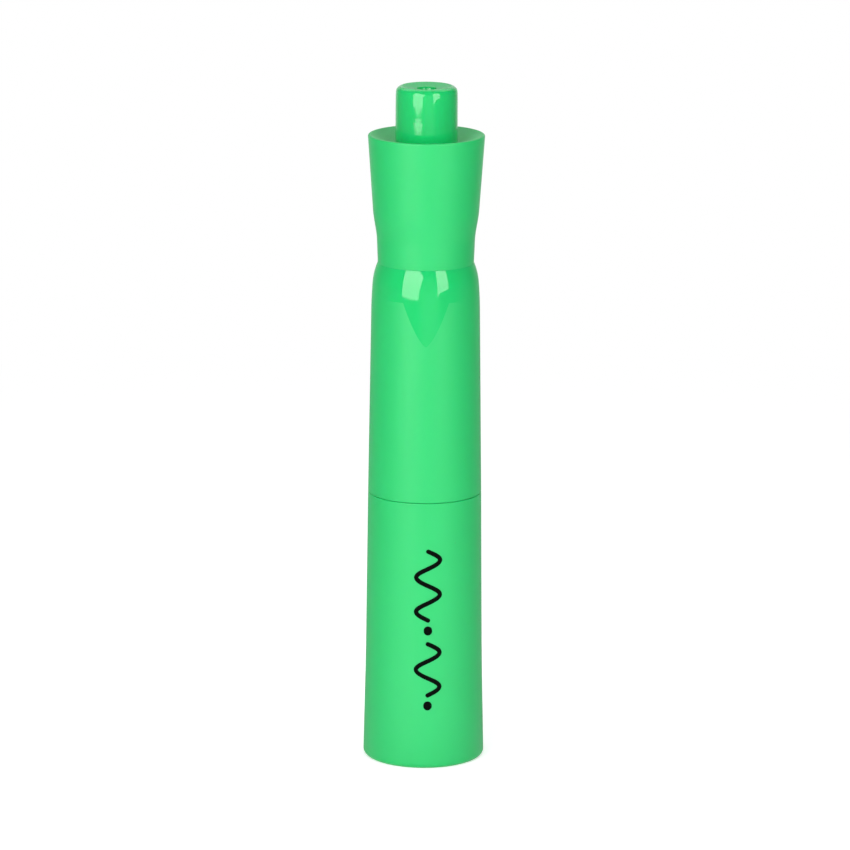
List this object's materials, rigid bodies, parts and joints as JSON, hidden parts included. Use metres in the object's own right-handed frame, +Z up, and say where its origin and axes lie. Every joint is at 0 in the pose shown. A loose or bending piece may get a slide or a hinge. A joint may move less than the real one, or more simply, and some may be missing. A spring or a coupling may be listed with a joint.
{
  "type": "highlighter pen",
  "caption": "Stout highlighter that stands on its flared base, with a pull-off cap whose waisted crown holds a polished closed seal tube.",
  "frame": {"origin": "middle of the flat base, on the surface that the highlighter stands on", "axes": "+Z up along the pen's own axis towards the cap; the printed front faces -Y; +X is to the right seen from the front"},
  "size_m": [0.0214, 0.0214, 0.12],
  "materials": {
    "barrel_plastic": "fine satin, lightly eroded mould surface",
    "plug_plastic": "satin",
    "section_plastic": "satin",
    "holder_plastic": "plain moulded, natural white",
    "nib_felt": "bonded polyester fibre soaked with green ink",
    "reservoir_fibre": "acrylic fibre soaked with green ink",
    "sleeve_film": "thin clear film",
    "breather_plastic": "natural polyethylene",
    "cap_plastic": "fine satin with a polished shield on the front of the shoulder",
    "crown_plastic": "fine satin",
    "polished_plastic": "mirror polished",
    "print_ink": "thin matt black screen ink"
  },
  "bodies": {
    "pen": {"barrel": "barrel_plastic", "end_plug": "plug_plastic", "front_section": "section_plastic", "nib_holder": "holder_plastic", "chisel_nib": "nib_felt", "ink_reservoir": "reservoir_fibre", "reservoir_sleeve": "sleeve_film", "breather_tube": "breather_plastic"},
    "cap": {"cap_sleeve": "cap_plastic", "cap_crown": "crown_plastic", "cap_inner_tube": "polished_plastic"}
  },
  "joints": [
    {"name": "cap_pull", "type": "slide", "parent": "pen", "child": "cap", "axis": [0, 0, 1], "range_m": [0, 0.065]}
  ]
}
